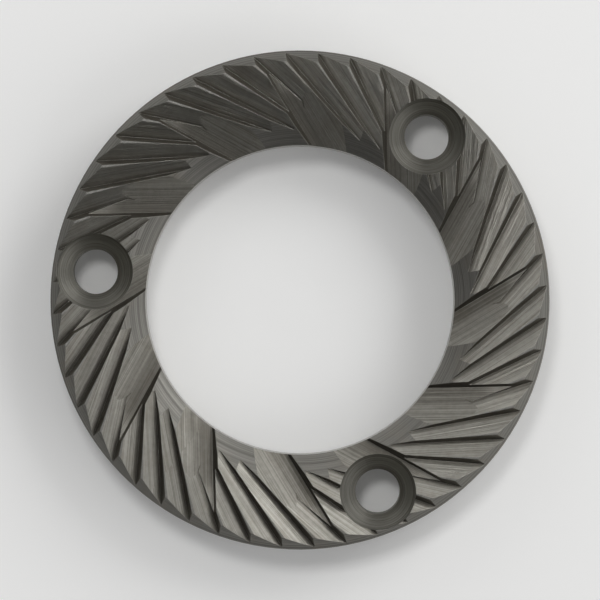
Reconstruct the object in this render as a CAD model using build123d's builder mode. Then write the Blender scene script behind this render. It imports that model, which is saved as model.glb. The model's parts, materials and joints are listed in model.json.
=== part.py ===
import os
from math import cos, radians, sin, tan

from build123d import *

# Driving dimensions, in millimetres and degrees.

# Ring blank
OUTER_DIAMETER = 50.0
BORE_DIAMETER = 31.0
THICKNESS = 8.0
RIM_CHAMFER = 1.1
BACK_CHAMFER = 0.5
BORE_CHAMFER = 0.4

# Inlet cone, which leads the beans from the bore up to the grinding band
INLET_WIDTH = 2.9
INLET_SLOPE = 22.0

# Screw holes, each with a sunk seat for a flat head screw
SCREW_COUNT = 3
SCREW_HOLE_DIAMETER = 4.5
SEAT_DIAMETER = 7.6
SEAT_DEPTH = 1.6
SEAT_ANGLE = 90.0
SEAT_RIM_WALL = 0.45

# Breaker slots, one to a sector: a leaning cutting face and a scooped floor that rises to the rim
BREAKER_COUNT = 12
BREAKER_START = 17.8
BREAKER_SKEW = 21.3
BREAKER_RIM_DEPTH = 0.15
BREAKER_RISE = 8.5
BREAKER_FACE_LEAN = 27.0
BREAKER_FLOOR_TILT = 12.0
BREAKER_FLOOR_RADIUS = 10.0

# Fine grooves, several to a sector: a leaning cutting face and a sloping back
FINE_PER_SECTOR = 4
FINE_START = 19.2
FINE_SKEW = 36.6
FINE_RIM_DEPTH = 0.9
FINE_RISE = -1.7
FINE_FACE_LEAN = 27.0
FINE_BACK_SLOPE = 25.8

# How far a cutter reaches beyond the metal it removes
CUTTER_OVERRUN = 1.5

# Sizes that follow from those above
outer_radius = OUTER_DIAMETER / 2
bore_radius = BORE_DIAMETER / 2
inlet_radius = bore_radius + INLET_WIDTH
inlet_drop = INLET_WIDTH * tan(radians(INLET_SLOPE))
seat_radius = SEAT_DIAMETER / 2
screw_circle_radius = outer_radius - SEAT_RIM_WALL - seat_radius
fine_count = BREAKER_COUNT * FINE_PER_SECTOR


def rim_run(skew):
    """Length of a groove along its own line, from the point nearest the axis to the rim."""
    return outer_radius * cos(radians(skew))


def groove_plane(skew, rim_depth, rise):
    """Plane across a groove just past the rim, with its origin on the groove's bottom line and Y up."""
    along = Vector(1, 0, tan(radians(rise)))
    rim_point = Vector(rim_run(skew), -outer_radius * sin(radians(skew)), THICKNESS - rim_depth)
    return Plane(origin=rim_point + along * CUTTER_OVERRUN, x_dir=(0, 1, 0), z_dir=along)


# Cutter of a breaker slot, lying along X
with BuildPart() as breaker_cutter:
    with BuildSketch(groove_plane(BREAKER_SKEW, BREAKER_RIM_DEPTH, BREAKER_RISE)):
        with BuildLine():
            floor = JernArc(
                start=(0, 0),
                tangent=(-cos(radians(BREAKER_FLOOR_TILT)), sin(radians(BREAKER_FLOOR_TILT))),
                radius=BREAKER_FLOOR_RADIUS,
                arc_size=BREAKER_FLOOR_TILT - 90,
            )
            floor_end = floor @ 1
            face_end = (floor_end.Y * tan(radians(BREAKER_FACE_LEAN)), floor_end.Y)
            Polyline(floor_end, face_end, (0, 0))
        make_face()
    extrude(amount=-rim_run(BREAKER_SKEW) - CUTTER_OVERRUN)

# Cutter of a fine groove, lying along X
with BuildPart() as fine_cutter:
    with BuildSketch(groove_plane(FINE_SKEW, FINE_RIM_DEPTH, FINE_RISE)):
        with BuildLine():
            height = FINE_RIM_DEPTH + CUTTER_OVERRUN
            Polyline(
                (0, 0),
                (height * tan(radians(FINE_FACE_LEAN)), height),
                (-height / tan(radians(FINE_BACK_SLOPE)), height),
                close=True,
            )
        make_face()
    extrude(amount=-rim_run(FINE_SKEW) - CUTTER_OVERRUN)

with BuildPart() as burr:
    # Turned ring with the inlet cone on its toothed side
    with BuildSketch(Plane.XZ):
        with BuildLine():
            Polyline(
                (bore_radius, 0),
                (outer_radius, 0),
                (outer_radius, THICKNESS),
                (inlet_radius, THICKNESS),
                (bore_radius, THICKNESS - inlet_drop),
                close=True,
            )
        make_face()
    revolve(axis=Axis.Z)
    back_edges = burr.edges().group_by(Axis.Z)[0].sort_by(SortBy.RADIUS)
    rim_edge = burr.edges().group_by(Axis.Z)[-1].sort_by(SortBy.RADIUS)[-1]
    chamfer(rim_edge, length=RIM_CHAMFER)
    chamfer(back_edges[-1], length=BACK_CHAMFER)
    chamfer(back_edges[0], length=BORE_CHAMFER)

    # Teeth
    with PolarLocations(0, BREAKER_COUNT, start_angle=BREAKER_START + BREAKER_SKEW):
        add(breaker_cutter.part, mode=Mode.SUBTRACT)
    with PolarLocations(0, fine_count, start_angle=FINE_START + FINE_SKEW):
        add(fine_cutter.part, mode=Mode.SUBTRACT)

    # Screw holes, the first one on the X axis
    with Locations((0, 0, THICKNESS - SEAT_DEPTH)):
        with PolarLocations(screw_circle_radius, SCREW_COUNT):
            CounterSinkHole(
                radius=SCREW_HOLE_DIAMETER / 2,
                counter_sink_radius=seat_radius,
                counter_sink_angle=SEAT_ANGLE,
            )

burr.part.label = "burr"

os.makedirs("parts", exist_ok=True)
export_step(burr.part, "parts/burr.step")
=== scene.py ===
"""Looks of a flat coffee grinder burr: the finishes of its steel, a pale floor, studio light and a camera."""

import json
from math import atan2, cos, hypot, pi, radians, sin, tan

import bpy
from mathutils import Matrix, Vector


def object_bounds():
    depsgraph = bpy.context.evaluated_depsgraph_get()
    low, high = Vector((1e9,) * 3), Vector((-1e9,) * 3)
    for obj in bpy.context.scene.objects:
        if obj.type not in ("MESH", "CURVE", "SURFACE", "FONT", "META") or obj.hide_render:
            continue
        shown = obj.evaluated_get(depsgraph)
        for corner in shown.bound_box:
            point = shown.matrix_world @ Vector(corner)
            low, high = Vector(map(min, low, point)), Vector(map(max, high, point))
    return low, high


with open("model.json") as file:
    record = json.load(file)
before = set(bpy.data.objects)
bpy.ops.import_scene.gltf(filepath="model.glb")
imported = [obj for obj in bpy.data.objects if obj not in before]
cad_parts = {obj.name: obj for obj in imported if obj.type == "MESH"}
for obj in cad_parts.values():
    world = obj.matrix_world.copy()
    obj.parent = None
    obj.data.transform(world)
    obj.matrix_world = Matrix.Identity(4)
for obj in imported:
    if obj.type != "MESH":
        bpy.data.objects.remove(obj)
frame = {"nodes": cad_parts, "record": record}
cad_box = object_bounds()
burr = frame["nodes"]["burr"]
mounts = {mount["name"]: mount for mount in frame["record"]["mounts"]}

# Ring blank, in millimetres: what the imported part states, then the edges as its source cuts them
MM = 1000.0
THICKNESS = cad_box[1].z * MM
RIM_RADIUS = cad_box[1].x * MM
BORE_RADIUS = mounts["bore"]["dims"]["r_mm"]
RIM_CHAMFER = 1.1
BACK_CHAMFER = 0.5
BORE_CHAMFER = 0.4
INLET_WIDTH = 2.9
INLET_SLOPE = 22.0

# Screw holes
SCREW_COUNT = mounts["screws"]["dims"]["count"]
SCREW_CIRCLE_RADIUS = mounts["screws"]["dims"]["pcd_mm"] / 2
SCREW_STEP = 2 * pi / SCREW_COUNT
SEAT_RADIUS = 3.8

# Lines of the teeth, as the source cuts them, in degrees and millimetres. A wall share is the part of the
# pitch beyond a groove's bottom line that still belongs to the groove, under its cutting face.
FINE_COUNT = 48
FINE_START = 19.2
FINE_SKEW = 36.6
FINE_RIM_DEPTH = 0.9
FINE_RISE = -1.7
FINE_BACK_SLOPE = 25.8
FINE_WALL_SHARE = 0.2
BREAKER_COUNT = 12
BREAKER_START = 17.8
BREAKER_SKEW = 21.3
BREAKER_WALL_SHARE = 0.1

# How near to a surface of the blank a point counts as on it. The outline's ground lines are the back and the
# crests; its wall lines are the rim and the bore.
ON_SURFACE = 0.01
GROUND_LINES = (0, 4)
WALL_LINES = (2, 6)

# How far from a fine land's own plane a point is still on the land, and how far it is clear of it
ON_LAND = 0.004
OFF_LAND = 0.010

# Colours of the steel
LAND_LIGHT = (0.524, 0.508, 0.458, 1)
LAND_DARK = (0.222, 0.214, 0.187, 1)
# The groove colour is painted shade: the dark of the grooves' shadow put into the steel's colour
GROOVE_SHADE = (0.05, 0.042, 0.03, 1)
BROWN_FILM = (0.28, 0.245, 0.195, 1)
WALL_STEEL_LIGHT = (0.46, 0.45, 0.42, 1)
WALL_STEEL_DARK = (0.33, 0.322, 0.30, 1)
CONE_STEEL_LIGHT = (0.30, 0.292, 0.268, 1)
CONE_STEEL_DARK = (0.18, 0.175, 0.158, 1)
SEAT_LIGHT = (0.42, 0.41, 0.37, 1)
SEAT_DARK = (0.25, 0.242, 0.215, 1)
GROUND_LIGHT = (0.30, 0.294, 0.274, 1)
GROUND_DARK = (0.19, 0.186, 0.172, 1)
# The edge colour is lighter bare steel at worn edges, and also a painted highlight along them
BARE_EDGE_AND_HIGHLIGHT = (0.52, 0.51, 0.47, 1)

# Marks of the tools, in millimetres
STREAK_LENGTH = 40.0
HAIRLINE_LENGTH = 24.0
LAND_STREAK_WIDTH = 0.20
LAND_HAIRLINE_WIDTH = 0.09
SLOT_STREAK_WIDTH = 0.22
SLOT_HAIRLINE_WIDTH = 0.10
GRAINS_PER_MM = 1.8
TURNED_RING_SPACING = 0.10
BORED_RING_SPACING = 0.14
SCRATCH_LENGTH = 20.0
SCRATCH_WIDTH = 0.10

# Noise of the marks: the levels that are wholly dark and wholly light, the shift from one groove's streaks to
# the next one's, and how far rings wander on their way round
STREAK_LEVELS = (0.32, 0.68)
RING_LEVELS = (0.3, 0.7)
GRAIN_LEVELS = (0.3, 0.7)
SCRATCH_LEVELS = (0.25, 0.75)
STREAK_SHIFT = 7.3
RING_WANDER = 0.6

# Shares of the marks of the teeth
STREAK_SHARE = 0.3
HAIRLINE_SHARE = 0.55
GRAIN_SHARE = 0.15

# Painted shade in the teeth: a darker colour in the grooves that stands in for their shadow. Across a land or
# a slot it runs from unshaded to shaded, in millimetres from the bottom line.
# Along a slot it weakens over a run that is measured from the point nearest the axis. A cutting face is told
# by the upward part of its normal: below the first value it is one, above the second it isn't.
LAND_FOOT_SHADE = (-0.5, 0.05)
SLOT_FOOT_SHADE = (-3.0, -0.3)
SLOT_SHADE_RUN = (17.6, 19.8)
SLOT_SHADE_STRENGTH = (0.8, 0.2)
CUTTING_FACE_UPWARD = (0.5, 0.62)
SHADE_SHARE = 0.7

# Film of dried oil: the size of its patches in millimetres, how much they cover and their share of the colour
TEETH_FILM = (3.0, 0.35, 0.25)
TURNED_FILM = (4.0, 0.3, 0.35)
GROUND_FILM = (5.0, 0.3, 0.3)
FILM_LEVEL = 0.75
FILM_COVER_REACH = 0.5
FILM_EDGE = (-0.12, 0.16)

# Worn edges: the radius in metres, the share of the colour taken by lighter bare steel, which also works as a
# painted highlight along the edge, and the cosines of the normal's turn at which an edge is wholly bare and
# not bare at all
CREST_WEAR = 0.00007
TURNED_WEAR = 0.00008
CREST_BARE_AND_HIGHLIGHT_SHARE = 0.6
TURNED_BARE_AND_HIGHLIGHT_SHARE = 0.5
EDGE_TURN = (0.86, 0.995)

# Roughness of the dark marks of each finish, and how much smoother the light marks are
LAND_ROUGHNESS = 0.50
SLOT_ROUGHNESS = 0.64
WALL_ROUGHNESS = 0.40
CONE_ROUGHNESS = 0.56
SEAT_ROUGHNESS = 0.60
GROUND_ROUGHNESS = 0.54
TEETH_POLISH = 0.18
BLANK_POLISH = 0.12

# Relief of the marks: its strength, and its depth in metres
TEETH_RELIEF = (0.45, 0.00006)
RING_RELIEF = (0.3, 0.00004)
SCRATCH_RELIEF = (0.25, 0.00003)

# Camera, in metres and millimetres of lens. Picture angles run anticlockwise from the picture's right.
FIRST_HOLE_ANGLE = 52.1
PICTURE_WIDTH = 0.0600
LENS = 400.0
SENSOR = 36.0
NEAREST_SEEN = 0.01

# Light: soft panels, and pale walls under a dim ceiling. Angles are in degrees, sizes in metres. The wall
# fades into the ceiling between two heights, which are sines of the elevation, and it darkens away from its
# bright side.
PANEL_DISTANCE = 0.6
PANELS = {
    "upper_right_panel": {"angle": 40.0, "elevation": 38.0, "size": 0.32, "radiance": 3.6},
    "right_panel": {"angle": -26.0, "elevation": 37.0, "size": 0.40, "radiance": 1.3},
    "upper_left_panel": {"angle": 124.0, "elevation": 29.0, "size": 0.40, "radiance": 0.58},
    "top_panel": {"angle": 112.0, "elevation": 73.0, "size": 0.11, "radiance": 20.8},
}
WALL_FADE = 0.09
WALL_TOP = 0.30
WALL_BRIGHT_ANGLE = 40.0
WALL_TURN = 0.8
WALL_LIGHT = 0.54
WALL_DARK = 0.06
CEILING_LIGHT = 0.03
WHITE = (1, 1, 1, 1)

# Floor, in metres. Its look is lifted a little where the burr closes it off, and open floor is lifted more,
# which paints shade into the holes and round the burr.
# The reach is how far away the burr still counts.
FLOOR_SIZE = 4.0
FLOOR_COLOUR = (0.84, 0.84, 0.83, 1)
LEAST_LIFT = 0.04
FLOOR_LIFT = 0.27
SHADE_REACH = 0.02


class Tree:
    """A node tree with a short call for each kind of node that the finishes are made of."""

    def __init__(self, tree):
        self.tree = tree

    def put(self, value, socket):
        """Links an output to an input, or sets the input to a plain value."""
        if isinstance(value, bpy.types.NodeSocket):
            self.tree.links.new(value, socket)
        else:
            socket.default_value = value

    def node(self, kind, inputs=None, **settings):
        """A node with its settings, and with its inputs given by name or number."""
        made = self.tree.nodes.new(kind)
        for name, value in settings.items():
            setattr(made, name, value)
        for name, value in (inputs or {}).items():
            self.put(value, made.inputs[name])
        return made

    def placed(self, group, inputs):
        """The outputs of a shader group that is placed in this tree."""
        return self.node("ShaderNodeGroup", inputs, node_tree=group).outputs

    def math(self, operation, *values):
        return self.node("ShaderNodeMath", dict(enumerate(values)), operation=operation).outputs[0]

    def vector(self, x, y, z):
        return self.node("ShaderNodeCombineXYZ", {"X": x, "Y": y, "Z": z}).outputs[0]

    def parts(self, vector):
        return self.node("ShaderNodeSeparateXYZ", {"Vector": vector}).outputs

    def from_axis(self, x, y):
        """Distance from the Z axis."""
        return self.math("SQRT", self.math("ADD", self.math("MULTIPLY", x, x), self.math("MULTIPLY", y, y)))

    def spread(self, value, low, high, to_low=0.0, to_high=1.0):
        """Takes low..high smoothly to to_low..to_high, and holds the ends beyond."""
        inputs = {"Value": value, "From Min": low, "From Max": high, "To Min": to_low, "To Max": to_high}
        return self.node("ShaderNodeMapRange", inputs, interpolation_type="SMOOTHSTEP").outputs["Result"]

    def noise(self, vector, scale=1.0, detail=2.0, roughness=0.5):
        inputs = {"Vector": vector, "Scale": scale, "Detail": detail, "Roughness": roughness}
        return self.node("ShaderNodeTexNoise", inputs).outputs["Fac"]

    def mix(self, factor, first, second):
        """A colour between two, at a factor from 0 to 1."""
        made = self.node("ShaderNodeMix", data_type="RGBA")
        for value, name in ((factor, "Factor_Float"), (first, "A_Color"), (second, "B_Color")):
            self.put(value, next(socket for socket in made.inputs if socket.identifier == name))
        return next(socket for socket in made.outputs if socket.identifier == "Result_Color")

    def tinted(self, colour, tint, mask, share):
        """A colour that takes on a share of a tint where a mask is 1."""
        return self.mix(self.math("MULTIPLY", mask, share), colour, tint)

    def place(self):
        """Position on the part, in millimetres."""
        metres = self.node("ShaderNodeTexCoord").outputs["Object"]
        return self.node("ShaderNodeVectorMath", {0: metres, "Scale": MM}, operation="SCALE").outputs[0]


def shader_group(name, inputs, outputs):
    """An empty shader group with named sockets: the group, its tree, its inputs and its outputs."""
    group = bpy.data.node_groups.new(name, "ShaderNodeTree")
    for socket, kind in inputs.items():
        group.interface.new_socket(socket, in_out="INPUT", socket_type=f"NodeSocket{kind}")
    for socket, kind in outputs.items():
        group.interface.new_socket(socket, in_out="OUTPUT", socket_type=f"NodeSocket{kind}")
    tree = Tree(group)
    return group, tree, tree.node("NodeGroupInput").outputs, tree.node("NodeGroupOutput").inputs


def groove_lines_group():
    """Where a point lies among straight grooves that all pass the ring's axis at one offset."""
    group, tree, given, made = shader_group(
        "groove lines",
        {
            "Position": "Vector",
            "First Line": "Float",
            "Pitch": "Float",
            "Offset": "Float",
            "Wall Share": "Float",
        },
        {"Along": "Float", "Across": "Float", "Number": "Float"},
    )
    x, y = tree.parts(given["Position"])[:2]
    lean = tree.math("ARCSINE", tree.math("DIVIDE", given["Offset"], tree.from_axis(x, y)))
    line = tree.math("ADD", tree.math("ARCTAN2", y, x), lean)
    pitches = tree.math("DIVIDE", tree.math("SUBTRACT", line, given["First Line"]), given["Pitch"])
    number = tree.math("FLOOR", tree.math("SUBTRACT", tree.math("ADD", pitches, 1.0), given["Wall Share"]))
    angle = tree.math("MULTIPLY_ADD", number, given["Pitch"], given["First Line"])
    cosine = tree.math("COSINE", angle)
    sine = tree.math("SINE", angle)
    along = tree.math("ADD", tree.math("MULTIPLY", x, cosine), tree.math("MULTIPLY", y, sine))
    across = tree.math("SUBTRACT", tree.math("MULTIPLY", y, cosine), tree.math("MULTIPLY", x, sine))
    tree.put(along, made["Along"])
    tree.put(tree.math("ADD", across, given["Offset"]), made["Across"])
    tree.put(number, made["Number"])
    return group


def cutter_streaks_group():
    """Long streaks that a cutter leaves along a groove, from 0 to 1."""
    group, tree, given, made = shader_group(
        "cutter streaks",
        {"Along": "Float", "Across": "Float", "Number": "Float", "Width": "Float", "Length": "Float"},
        {"Streaks": "Float"},
    )
    place = tree.vector(
        tree.math("DIVIDE", given["Across"], given["Width"]),
        tree.math("DIVIDE", given["Along"], given["Length"]),
        tree.math("MULTIPLY", given["Number"], STREAK_SHIFT),
    )
    streaks = tree.noise(place, detail=4.0, roughness=0.7)
    tree.put(tree.spread(streaks, *STREAK_LEVELS), made["Streaks"])
    return group


def turned_rings_group():
    """Fine rings round the Z axis, as a lathe tool leaves them, from 0 to 1."""
    group, tree, given, made = shader_group(
        "turned rings", {"Position": "Vector", "Spacing": "Float"}, {"Rings": "Float"}
    )
    x, y, z = tree.parts(given["Position"])
    place = tree.vector(
        tree.math("DIVIDE", tree.from_axis(x, y), given["Spacing"]),
        tree.math("DIVIDE", z, given["Spacing"]),
        tree.math("MULTIPLY", tree.math("SINE", tree.math("ARCTAN2", y, x)), RING_WANDER),
    )
    rings = tree.noise(place, detail=3.0, roughness=0.6)
    tree.put(tree.spread(rings, *RING_LEVELS), made["Rings"])
    return group


def oil_film_group():
    """Thin patches where dried oil tints the steel, from 0 to 1."""
    group, tree, given, made = shader_group(
        "oil film", {"Position": "Vector", "Size": "Float", "Cover": "Float"}, {"Film": "Float"}
    )
    inputs = {0: given["Position"], 1: given["Size"]}
    place = tree.node("ShaderNodeVectorMath", inputs, operation="DIVIDE").outputs[0]
    patches = tree.noise(place, detail=4.0, roughness=0.6)
    level = tree.math("SUBTRACT", FILM_LEVEL, tree.math("MULTIPLY", given["Cover"], FILM_COVER_REACH))
    tree.put(tree.spread(tree.math("SUBTRACT", patches, level), *FILM_EDGE), made["Film"])
    return group


def worn_edge_group():
    """Edges rounded by wear: the rounded normal, and a mask that is 1 along the edge."""
    group, tree, given, made = shader_group(
        "worn edge", {"Radius": "Float"}, {"Edge": "Float", "Normal": "Vector"}
    )
    rounded = tree.node("ShaderNodeBevel", {"Radius": given["Radius"]}, samples=6).outputs[0]
    flat = tree.node("ShaderNodeNewGeometry").outputs["Normal"]
    agree = tree.node("ShaderNodeVectorMath", {0: rounded, 1: flat}, operation="DOT_PRODUCT").outputs["Value"]
    tree.put(tree.spread(agree, *EDGE_TURN, 1.0, 0.0), made["Edge"])
    tree.put(rounded, made["Normal"])
    return group


def new_material(name):
    """An empty node material and its tree."""
    material = bpy.data.materials.new(name)
    material.use_nodes = True
    material.node_tree.nodes.clear()
    return material, Tree(material.node_tree)


def filmed(tree, place, colour, size, cover, share):
    """A colour under thin patches of dried oil."""
    film = tree.placed(oil_film, {"Position": place, "Size": size, "Cover": cover})["Film"]
    return tree.tinted(colour, BROWN_FILM, film, share)


def relief(tree, marks, normal, strength, depth):
    """Normal of a surface that its marks are cut into."""
    inputs = {"Strength": strength, "Distance": depth, "Height": marks, "Normal": normal}
    return tree.node("ShaderNodeBump", inputs).outputs[0]


def steel(tree, colour, roughness, normal):
    """Bare steel as the material's surface."""
    inputs = {"Base Color": colour, "Roughness": roughness, "Metallic": 1.0, "Normal": normal}
    surface = tree.node("ShaderNodeBsdfPrincipled", inputs)
    tree.node("ShaderNodeOutputMaterial", {"Surface": surface.outputs[0]})


def milled_teeth_material():
    """Lands and slots as milled: streaks along each cut, painted shade in the grooves, and crests lightened
    as bare worn steel and painted highlight.
    """
    material, tree = new_material("milled_teeth")
    place = tree.place()

    def cut_lines(start, skew, count, wall_share):
        return tree.placed(
            groove_lines,
            {
                "Position": place,
                "First Line": radians(start + skew),
                "Pitch": radians(360 / count),
                "Offset": RIM_RADIUS * sin(radians(skew)),
                "Wall Share": wall_share,
            },
        )

    def cut_streaks(lines, width, length):
        inputs = {name: lines[name] for name in ("Along", "Across", "Number")}
        return tree.placed(cutter_streaks, {**inputs, "Width": width, "Length": length})["Streaks"]

    fine = cut_lines(FINE_START, FINE_SKEW, FINE_COUNT, FINE_WALL_SHARE)
    breaker = cut_lines(BREAKER_START, BREAKER_SKEW, BREAKER_COUNT, BREAKER_WALL_SHARE)

    # A fine land is where the surface has the height of the land's own plane
    height = tree.parts(place)[2]
    to_rim = tree.math("SUBTRACT", fine["Along"], RIM_RADIUS * cos(radians(FINE_SKEW)))
    bottom = tree.math("MULTIPLY_ADD", to_rim, tan(radians(FINE_RISE)), THICKNESS - FINE_RIM_DEPTH)
    land_height = tree.math("MULTIPLY_ADD", fine["Across"], -tan(radians(FINE_BACK_SLOPE)), bottom)
    off_land = tree.math("ABSOLUTE", tree.math("SUBTRACT", height, land_height))
    on_land = tree.spread(off_land, ON_LAND, OFF_LAND, 1.0, 0.0)

    streaks = tree.mix(
        on_land,
        cut_streaks(breaker, SLOT_STREAK_WIDTH, STREAK_LENGTH),
        cut_streaks(fine, LAND_STREAK_WIDTH, STREAK_LENGTH),
    )
    hairlines = tree.mix(
        on_land,
        cut_streaks(breaker, SLOT_HAIRLINE_WIDTH, HAIRLINE_LENGTH),
        cut_streaks(fine, LAND_HAIRLINE_WIDTH, HAIRLINE_LENGTH),
    )
    grain = tree.spread(tree.noise(place, scale=GRAINS_PER_MM, detail=5.0, roughness=0.65), *GRAIN_LEVELS)
    marks = tree.math("MULTIPLY_ADD", streaks, STREAK_SHARE, tree.math("MULTIPLY", hairlines, HAIRLINE_SHARE))
    marks = tree.math("MULTIPLY_ADD", grain, GRAIN_SHARE, marks)

    # Painted shade lies at the foot of the lands, in the deep end of the slots and on the cutting faces,
    # where the grooves fall into shadow
    land_foot = tree.spread(fine["Across"], *LAND_FOOT_SHADE)
    deep_end = tree.spread(breaker["Along"], *SLOT_SHADE_RUN, *SLOT_SHADE_STRENGTH)
    slot_foot = tree.math("MULTIPLY", tree.spread(breaker["Across"], *SLOT_FOOT_SHADE), deep_end)
    upward = tree.parts(tree.node("ShaderNodeNewGeometry").outputs["True Normal"])[2]
    cutting_face = tree.spread(upward, *CUTTING_FACE_UPWARD, 1.0, 0.0)
    # This mask places the painted shade of the grooves; no oil is meant
    oil = tree.math("MAXIMUM", tree.mix(on_land, slot_foot, land_foot), cutting_face)

    edge = tree.placed(worn_edge, {"Radius": CREST_WEAR})
    colour = filmed(tree, place, tree.mix(marks, LAND_DARK, LAND_LIGHT), *TEETH_FILM)
    colour = tree.tinted(colour, GROOVE_SHADE, oil, SHADE_SHARE)
    # Crest edges lightened: bare worn steel and a painted highlight
    colour = tree.tinted(colour, BARE_EDGE_AND_HIGHLIGHT, edge["Edge"], CREST_BARE_AND_HIGHLIGHT_SHARE)
    roughest = tree.math("MULTIPLY_ADD", on_land, LAND_ROUGHNESS - SLOT_ROUGHNESS, SLOT_ROUGHNESS)
    roughness = tree.math("MULTIPLY_ADD", marks, -TEETH_POLISH, roughest)
    steel(tree, colour, roughness, relief(tree, marks, edge["Normal"], *TEETH_RELIEF))
    return material


def ringed_steel(tree, rings, colour, roughest):
    """Steel with the rings of a turning tool and worn edges lightened as bare steel and painted highlight, as
    the material's surface.
    """
    edge = tree.placed(worn_edge, {"Radius": TURNED_WEAR})
    # Worn edges lightened: bare steel and a painted highlight
    colour = tree.tinted(colour, BARE_EDGE_AND_HIGHLIGHT, edge["Edge"], TURNED_BARE_AND_HIGHLIGHT_SHARE)
    roughness = tree.math("MULTIPLY_ADD", rings, -BLANK_POLISH, roughest)
    steel(tree, colour, roughness, relief(tree, rings, edge["Normal"], *RING_RELIEF))


def turned_material(name, dark, light, roughest):
    """A surface of the blank as turned: fine rings round the axis."""
    material, tree = new_material(name)
    place = tree.place()
    rings = tree.placed(turned_rings, {"Position": place, "Spacing": TURNED_RING_SPACING})["Rings"]
    colour = filmed(tree, place, tree.mix(rings, dark, light), *TURNED_FILM)
    ringed_steel(tree, rings, colour, roughest)
    return material


def bored_seats_material():
    """Screw holes and their seats as bored: rings round each hole, dark with oil."""
    material, tree = new_material("bored_seats")
    x, y, z = tree.parts(tree.place())
    radius = tree.from_axis(x, y)
    angle = tree.math("ARCTAN2", y, x)
    nearest = tree.math("MULTIPLY", tree.math("ROUND", tree.math("DIVIDE", angle, SCREW_STEP)), SCREW_STEP)
    turned = tree.math("SUBTRACT", angle, nearest)
    outward = tree.math("MULTIPLY", radius, tree.math("COSINE", turned))
    from_hole = tree.vector(
        tree.math("SUBTRACT", outward, SCREW_CIRCLE_RADIUS),
        tree.math("MULTIPLY", radius, tree.math("SINE", turned)),
        z,
    )
    rings = tree.placed(turned_rings, {"Position": from_hole, "Spacing": BORED_RING_SPACING})["Rings"]
    ringed_steel(tree, rings, tree.mix(rings, SEAT_DARK, SEAT_LIGHT), SEAT_ROUGHNESS)
    return material


def ground_flats_material():
    """Back face and crests as ground flat: straight fine scratches one way."""
    material, tree = new_material("ground_flats")
    place = tree.place()
    x, y = tree.parts(place)[:2]
    stretched = tree.vector(
        tree.math("DIVIDE", x, SCRATCH_LENGTH), tree.math("DIVIDE", y, SCRATCH_WIDTH), 0.0
    )
    scratches = tree.spread(tree.noise(stretched, detail=4.0, roughness=0.7), *SCRATCH_LEVELS)
    edge = tree.placed(worn_edge, {"Radius": TURNED_WEAR})
    colour = filmed(tree, place, tree.mix(scratches, GROUND_DARK, GROUND_LIGHT), *GROUND_FILM)
    roughness = tree.math("MULTIPLY_ADD", scratches, -BLANK_POLISH, GROUND_ROUGHNESS)
    steel(tree, colour, roughness, relief(tree, scratches, edge["Normal"], *SCRATCH_RELIEF))
    return material


def pale_floor_material():
    """Pale matt floor that reads as near white where it is seen, with painted shade where the burr closes it
    off.
    """
    material, tree = new_material("pale_floor")
    rays = tree.node("ShaderNodeLightPath").outputs
    seen = tree.math("MAXIMUM", rays["Is Camera Ray"], rays["Is Glossy Ray"])
    seen = tree.math("MAXIMUM", seen, rays["Is Transmission Ray"])
    # Ambient occlusion turns the lift down near the burr: painted shade in the holes and round its foot
    openness = tree.node("ShaderNodeAmbientOcclusion", {"Distance": SHADE_REACH}, samples=8).outputs["AO"]
    lift_with_painted_shade = tree.math("MULTIPLY_ADD", openness, FLOOR_LIFT, LEAST_LIFT)
    lift = tree.node("ShaderNodeEmission", {"Strength": tree.math("MULTIPLY", seen, lift_with_painted_shade)})
    matt = tree.node("ShaderNodeBsdfDiffuse", {"Color": FLOOR_COLOUR})
    both = tree.node("ShaderNodeAddShader", {0: matt.outputs[0], 1: lift.outputs[0]})
    tree.node("ShaderNodeOutputMaterial", {"Surface": both.outputs[0]})
    return material


def blank_outline():
    """Outline of the turned blank's section, as points of radius and height, from the back's inner end."""
    inlet_radius = BORE_RADIUS + INLET_WIDTH
    inlet_height = THICKNESS - INLET_WIDTH * tan(radians(INLET_SLOPE))
    return [
        (BORE_RADIUS + BORE_CHAMFER, 0),
        (RIM_RADIUS - BACK_CHAMFER, 0),
        (RIM_RADIUS, BACK_CHAMFER),
        (RIM_RADIUS, THICKNESS - RIM_CHAMFER),
        (RIM_RADIUS - RIM_CHAMFER, THICKNESS),
        (inlet_radius, THICKNESS),
        (BORE_RADIUS, inlet_height),
        (BORE_RADIUS, BORE_CHAMFER),
    ]


def off_line(point, start, end):
    """Distance of a point from the straight line through two others."""
    run = (end[0] - start[0], end[1] - start[1])
    aside = (point[0] - start[0], point[1] - start[1])
    return abs(run[0] * aside[1] - run[1] * aside[0]) / hypot(*run)


def from_screw_axis(point):
    """Distance of a point from the axis of the nearest screw hole."""
    hole = round(atan2(point.y, point.x) / SCREW_STEP) * SCREW_STEP
    return hypot(point.x - SCREW_CIRCLE_RADIUS * cos(hole), point.y - SCREW_CIRCLE_RADIUS * sin(hole))


def finish_of(corners, outline):
    """Name of the cut that made a face, from the places of its corners in millimetres."""
    if all(from_screw_axis(corner) < SEAT_RADIUS + ON_SURFACE for corner in corners):
        return "bored_seats"
    section = [(hypot(corner.x, corner.y), corner.z) for corner in corners]
    lines = list(zip(outline, outline[1:] + outline[:1]))
    touched = [all(off_line(point, *line) < ON_SURFACE for point in section) for line in lines]
    if any(touched[line] for line in GROUND_LINES):
        return "ground_flats"
    if any(touched[line] for line in WALL_LINES):
        return "turned_walls"
    return "turned_cones" if any(touched) else "milled_teeth"


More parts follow.
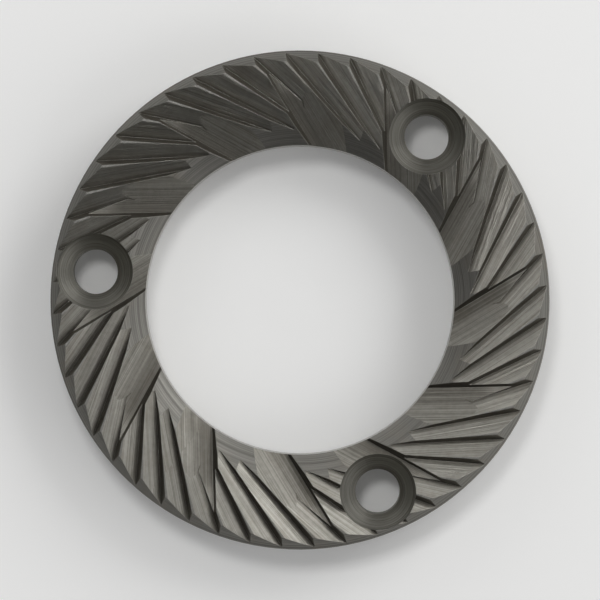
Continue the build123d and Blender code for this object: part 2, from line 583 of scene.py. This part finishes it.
def dress_burr():
    """Gives each face of the burr the finish of the cut that made it."""
    materials = [
        milled_teeth_material(),
        turned_material("turned_walls", WALL_STEEL_DARK, WALL_STEEL_LIGHT, WALL_ROUGHNESS),
        turned_material("turned_cones", CONE_STEEL_DARK, CONE_STEEL_LIGHT, CONE_ROUGHNESS),
        bored_seats_material(),
        ground_flats_material(),
    ]
    burr.data.materials.clear()
    for material in materials:
        burr.data.materials.append(material)
    number = {material.name: index for index, material in enumerate(materials)}
    outline = blank_outline()
    for face in burr.data.polygons:
        corners = [burr.data.vertices[index].co * MM for index in face.vertices]
        face.material_index = number[finish_of(corners, outline)]


def picture_direction(angle, elevation):
    """Unit vector to a place seen at an angle in the picture, at an elevation above the floor."""
    turn = radians(angle - FIRST_HOLE_ANGLE)
    rise = radians(elevation)
    return Vector((cos(turn) * cos(rise), sin(turn) * cos(rise), sin(rise)))


def soft_panel(name, target, angle, elevation, size, radiance):
    """A square soft lamp that faces the burr, with the brightness of its surface given."""
    data = bpy.data.lights.new(name, "AREA")
    data.size = size
    data.energy = radiance * pi * size**2
    lamp = bpy.data.objects.new(name, data)
    bpy.context.scene.collection.objects.link(lamp)
    lamp.visible_camera = False
    direction = picture_direction(angle, elevation)
    lamp.location = target + direction * PANEL_DISTANCE
    lamp.rotation_euler = direction.to_track_quat("Z", "Y").to_euler()


def studio_world():
    """Pale walls low down all round, brightest at the upper right, under a dim ceiling."""
    world = bpy.data.worlds.new("studio")
    world.use_nodes = True
    world.node_tree.nodes.clear()
    tree = Tree(world.node_tree)
    x, y, up = tree.parts(tree.node("ShaderNodeTexCoord").outputs["Generated"])
    brightest = picture_direction(WALL_BRIGHT_ANGLE, 0.0)
    towards = tree.math("MULTIPLY_ADD", x, brightest.x, tree.math("MULTIPLY", y, brightest.y))
    wall = tree.spread(towards, -WALL_TURN, WALL_TURN, WALL_DARK, WALL_LIGHT)
    strength = tree.spread(up, WALL_FADE, WALL_TOP, wall, CEILING_LIGHT)
    sky = tree.node("ShaderNodeBackground", {"Color": WHITE, "Strength": strength})
    tree.node("ShaderNodeOutputWorld", {"Surface": sky.outputs[0]})
    return world


def studio_camera(target):
    """Camera straight above the burr, turned so that the first screw hole lies as in the photograph."""
    data = bpy.data.cameras.new("camera")
    data.lens = LENS
    data.sensor_width = SENSOR
    data.clip_start = NEAREST_SEEN
    camera = bpy.data.objects.new("camera", data)
    bpy.context.scene.collection.objects.link(camera)
    camera.location = target + Vector((0, 0, PICTURE_WIDTH * LENS / SENSOR))
    camera.rotation_euler = (0, 0, -radians(FIRST_HOLE_ANGLE))
    return camera


groove_lines = groove_lines_group()
cutter_streaks = cutter_streaks_group()
turned_rings = turned_rings_group()
oil_film = oil_film_group()
worn_edge = worn_edge_group()

dress_burr()

bpy.ops.mesh.primitive_plane_add(size=FLOOR_SIZE)
floor = bpy.context.object
floor.name = "floor"
floor.data.materials.append(pale_floor_material())

face_middle = Vector((0, 0, THICKNESS / MM))
for panel, place in PANELS.items():
    soft_panel(panel, face_middle, **place)

scene = bpy.context.scene
scene.world = studio_world()
scene.camera = studio_camera(face_middle)
scene.view_settings.view_transform = "Standard"
